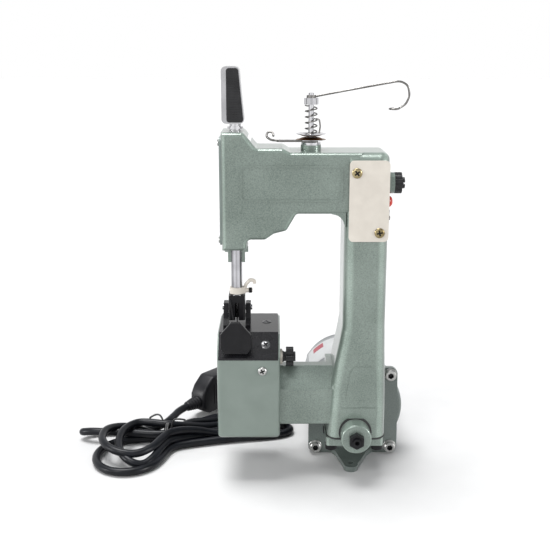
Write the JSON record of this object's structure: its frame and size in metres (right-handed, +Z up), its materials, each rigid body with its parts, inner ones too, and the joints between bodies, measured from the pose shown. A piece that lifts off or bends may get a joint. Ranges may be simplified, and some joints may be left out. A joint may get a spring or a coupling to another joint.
{
  "type": "portable bag closer sewing machine",
  "caption": "Hand-held sewing machine for closing filled bags: C-shaped painted casting with presser foot and needle, feed box, rear motor and power cord.",
  "frame": {"origin": "middle of the machine's box without the cord, on the ground", "axes": "+Z up, -Y towards the operator's side with the switch plate, -X towards the needle"},
  "size_m": [0.2633, 0.2131, 0.2983],
  "materials": {
    "green_paint": "hammered paint",
    "grey_green_paint": "hammered paint",
    "green_cover": "semi-gloss paint",
    "black_plate": "semi-gloss",
    "black_steel": "black oxide",
    "steel": "machined",
    "zinc": "zinc plated",
    "yellow_zinc": "yellow zinc plated",
    "chrome": "polished",
    "bronze": "sintered bronze",
    "ivory_plate": "satin",
    "ivory_metal": "satin",
    "motor_paint": "silver-grey paint",
    "black_plastic": "moulded",
    "plug_plastic": "moulded",
    "red_plastic": "gloss",
    "rubber": "matt",
    "cord_rubber": "satin PVC"
  },
  "bodies": {
    "frame": {"body_casting": "green_paint", "feed_box": "green_paint", "bearing_bracket": "green_paint", "fan_housing": "grey_green_paint", "rear_cover": "green_cover", "face_plate": "green_cover", "cover_plate": "black_plate", "throat_plate": "steel", "switch_plate": "ivory_plate", "motor_shell": "motor_paint", "motor_end_bell": "motor_paint", "brush_caps": "black_plastic", "stator": "steel", "motor_foot": "rubber", "bearing_bushes": "bronze", "thrust_screw": "black_steel", "bracket_screws": "black_steel", "flange_screws": "zinc", "cover_screws": "zinc", "box_screws": "zinc", "switch_screws": "yellow_zinc", "beam_pin": "steel", "presser_spring": "steel", "tension_stud": "chrome", "guide_lever": "steel", "lower_disc": "bronze", "tension_spring": "steel", "guard_shell": "chrome", "guard_cover": "black_plastic", "switch_body": "black_plastic", "switch_bezel": "steel", "fuse_holder": "black_plastic", "cord_gland": "rubber", "cord_lead": "cord_rubber", "cord_hank": "cord_rubber", "cord_tail": "cord_rubber", "plug": "plug_plastic"},
    "rotor": {"armature": "steel", "fan": "black_plastic", "worm": "steel"},
    "drive_shaft": {"main_shaft": "steel", "worm_wheel": "bronze"},
    "beam": {"needle_beam": "steel"},
    "rod": {"connecting_rod": "steel"},
    "needle_slider": {"needle_bar": "steel", "needle": "chrome"},
    "presser": {"presser_bar": "chrome", "foot_shank": "black_steel", "foot_pin": "chrome", "thread_guide": "ivory_metal"},
    "foot": {"presser_foot": "black_steel"},
    "lifter": {"presser_lifter": "chrome"},
    "looper_arm": {"looper": "steel"},
    "feeder": {"feed_dog": "steel"},
    "button": {"switch_button": "red_plastic"},
    "fuse_knob": {"fuse_cap": "black_plastic"},
    "box_knob": {"cover_knob": "black_plastic"},
    "nut": {"tension_nut": "chrome"},
    "wire_arm": {"guide_wire": "chrome"},
    "disc": {"upper_disc": "bronze"}
  },
  "joints": [
    {"name": "motor_spin", "type": "hinge", "parent": "frame", "child": "rotor", "pos_m": [0.02828, -0.0403, 0.037], "axis": [0, 1, 0], "continuous": true},
    {"name": "main_shaft_spin", "type": "hinge", "parent": "frame", "child": "drive_shaft", "pos_m": [0.02828, -0.0403, 0.057], "axis": [1, 0, 0], "continuous": true},
    {"name": "beam_rock", "type": "hinge", "parent": "frame", "child": "beam", "pos_m": [0.00128, -0.0403, 0.226], "axis": [0, 1, 0], "range_deg": [-30.2, 0]},
    {"name": "rod_swing", "type": "hinge", "parent": "beam", "child": "rod", "pos_m": [0.03024, -0.0313, 0.21818], "axis": [0, 1, 0], "range_deg": [0, 30.2]},
    {"name": "needle_bar_slide", "type": "slide", "parent": "frame", "child": "needle_slider", "axis": [0, 0, 1], "range_m": [-0.0321, 0.0001]},
    {"name": "presser_lift", "type": "slide", "parent": "frame", "child": "presser", "axis": [0, 0, 1], "range_m": [0, 0.005], "stiffness_N_per_m": 400, "deforming": ["presser_spring"]},
    {"name": "foot_tilt", "type": "hinge", "parent": "presser", "child": "foot", "pos_m": [-0.05802, -0.0343, 0.125], "axis": [-1, 0, 0], "range_deg": [0, 6], "stiffness_Nm_per_rad": 0.3},
    {"name": "lifter_turn", "type": "hinge", "parent": "frame", "child": "lifter", "pos_m": [-0.06222, -0.0403, 0.179], "axis": [0, -1, 0], "range_deg": [0, 33.4]},
    {"name": "looper_swing", "type": "hinge", "parent": "frame", "child": "looper_arm", "pos_m": [-0.04202, -0.0403, 0.084], "axis": [0, 1, 0], "range_deg": [-4, 12]},
    {"name": "feed_slide", "type": "slide", "parent": "frame", "child": "feeder", "axis": [0, 1, 0], "range_m": [-0.0025, 0.0025]},
    {"name": "switch_press", "type": "slide", "parent": "frame", "child": "button", "axis": [-1, 0, 0], "range_m": [0, 0.0025], "stiffness_N_per_m": 600},
    {"name": "fuse_cap_turn", "type": "hinge", "parent": "frame", "child": "fuse_knob", "pos_m": [0.02828, -0.0423, 0.2182], "axis": [1, 0, 0], "range_deg": [0, 90]},
    {"name": "cover_knob_turn", "type": "hinge", "parent": "frame", "child": "box_knob", "pos_m": [0.02828, -0.0473, 0.091], "axis": [1, 0, 0], "continuous": true},
    {"name": "tension_nut_turn", "type": "hinge", "parent": "frame", "child": "nut", "pos_m": [-0.00522, -0.0403, 0], "axis": [0, 0, 1], "range_deg": [-180, 180]},
    {"name": "guide_wire_swivel", "type": "hinge", "parent": "frame", "child": "wire_arm", "pos_m": [-0.00522, -0.0403, 0], "axis": [0, 0, 1], "range_deg": [-60, 60]},
    {"name": "upper_disc_lift", "type": "slide", "parent": "frame", "child": "disc", "axis": [0, 0, 1], "range_m": [0, 0.0008], "stiffness_N_per_m": 300, "deforming": ["tension_spring"]}
  ],
  "couplings": [
    {"joint": "main_shaft_spin", "follows": "motor_spin", "ratio": -0.071429},
    {"joint": "rod_swing", "follows": "beam_rock", "ratio": -1},
    {"joint": "needle_bar_slide", "follows": "beam_rock", "m_per_rad": 0.06071},
    {"joint": "lifter_turn", "follows": "presser_lift", "rad_per_m": 116.28}
  ]
}
